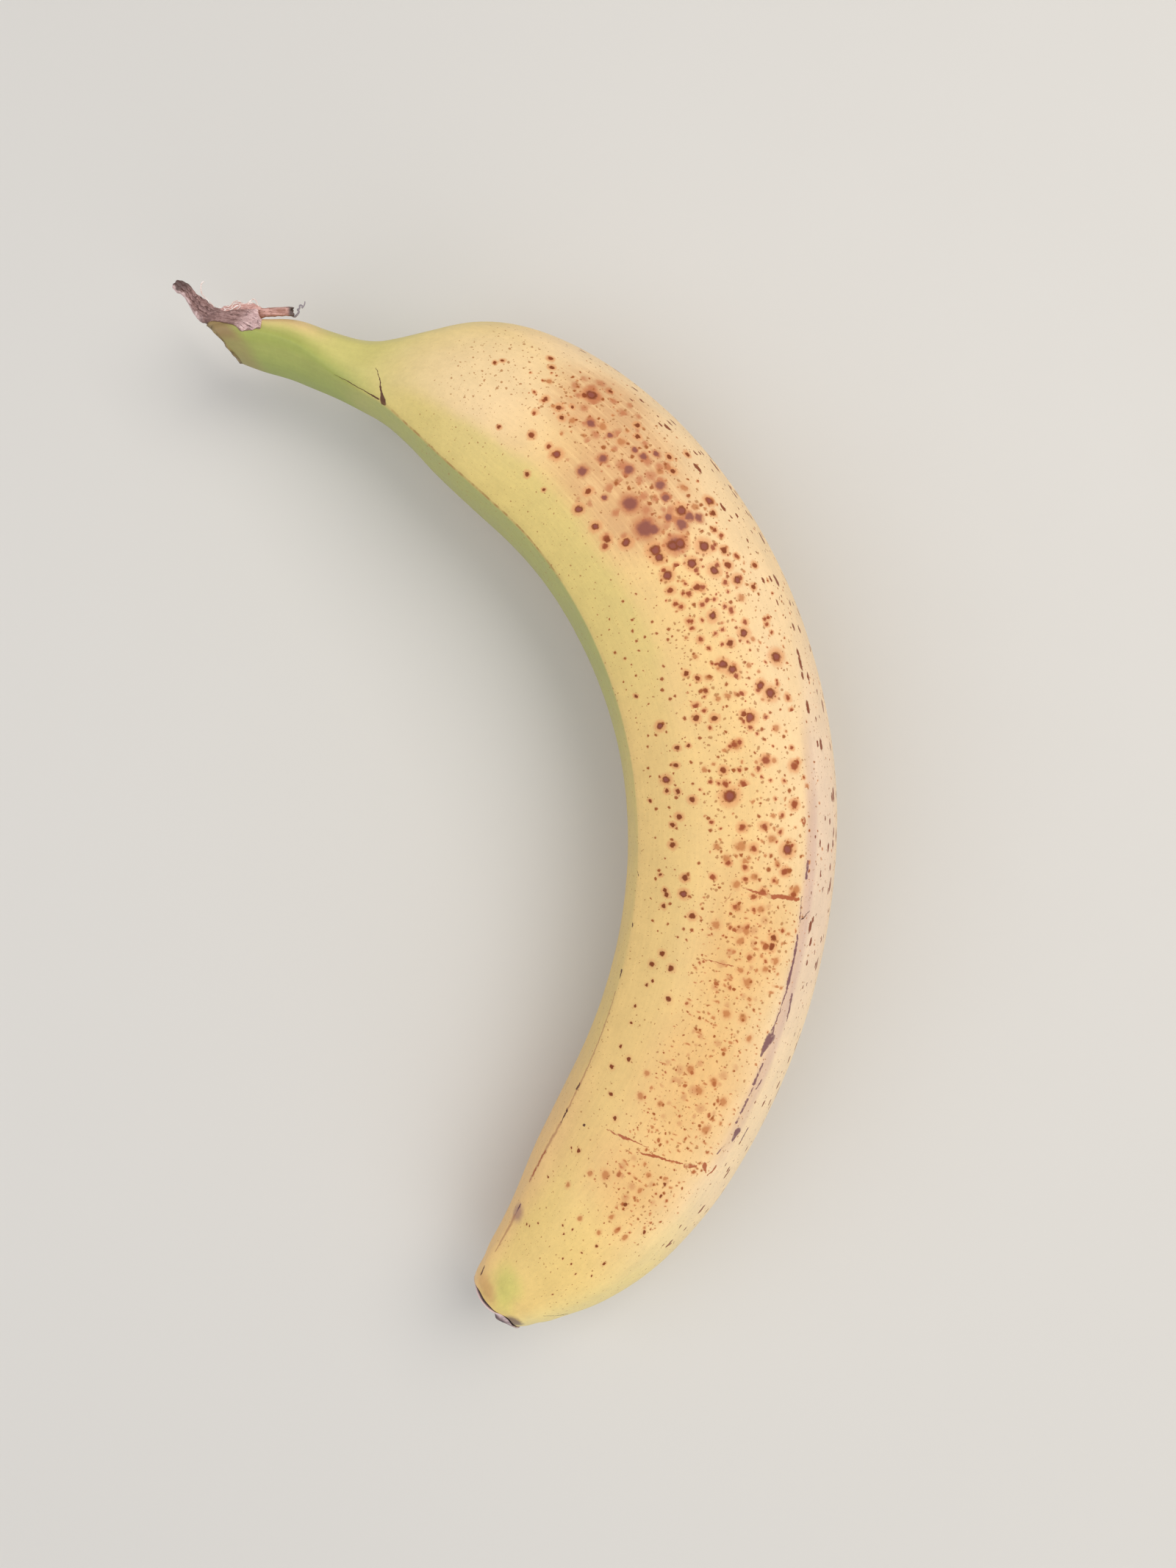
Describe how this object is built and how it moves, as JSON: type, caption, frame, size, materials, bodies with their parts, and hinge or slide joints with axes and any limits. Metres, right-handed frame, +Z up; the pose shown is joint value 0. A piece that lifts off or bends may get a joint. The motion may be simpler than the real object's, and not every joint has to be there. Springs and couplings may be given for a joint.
{
  "type": "banana",
  "caption": "Whole ripe banana lying on its side: a curved, softly ridged fruit with a slim stem, a torn dry crown and a small blossom scar.",
  "frame": {"origin": "under the middle of the fruit's own box, on the surface it lies on", "axes": "+Z up; +X towards the outer side of the bend; +Y towards the stem, along the fruit's longest extent"},
  "size_m": [0.1114, 0.1774, 0.0348],
  "materials": {
    "peel": "satin",
    "dry_crown": "matte"
  },
  "bodies": {
    "root": {"banana": "peel"}
  },
  "joints": []
}
